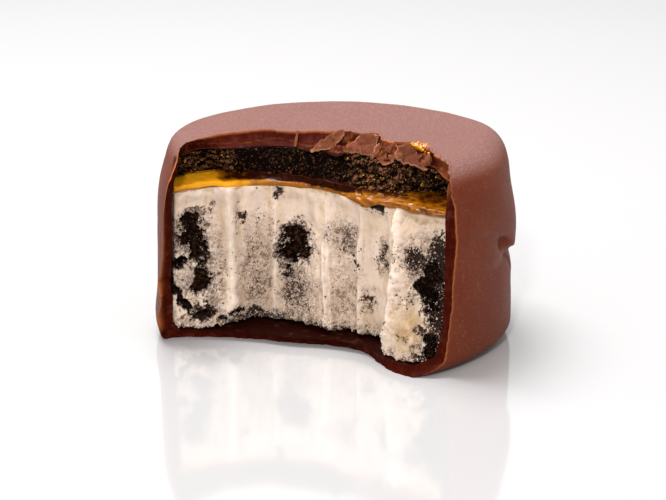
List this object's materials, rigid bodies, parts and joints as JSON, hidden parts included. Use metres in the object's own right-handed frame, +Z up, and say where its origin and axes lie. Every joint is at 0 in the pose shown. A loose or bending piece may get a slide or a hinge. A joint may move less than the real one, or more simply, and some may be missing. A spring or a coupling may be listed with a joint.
{
  "type": "frozen alfajor with a bite taken",
  "caption": "Round chocolate-coated alfajor of ice cream with cookie pieces, caramel and a dark biscuit, bitten at the front to show its layers.",
  "frame": {"origin": "where the cake's own round axis meets the table, on the flat underside", "axes": "+Z up along the cake's axis, -Y towards the bite, +X to the right when the bite is seen from the front"},
  "size_m": [0.0692, 0.0635, 0.038],
  "materials": {
    "chocolate": "satin milk chocolate with a fine bloom",
    "ice_cream": "frosty, pale cream, slightly translucent",
    "caramel": "glossy amber",
    "cocoa_biscuit": "rough, nearly black crumb",
    "cookie": "rough, damp black crumb"
  },
  "bodies": {
    "root": {"chocolate_coating": "chocolate", "ice_cream": "ice_cream", "caramel": "caramel", "biscuit": "cocoa_biscuit", "cookie_piece_left": "cookie", "cookie_piece_left_low": "cookie", "cookie_piece_middle": "cookie", "cookie_piece_right": "cookie", "cookie_piece_right_low": "cookie"}
  },
  "joints": []
}
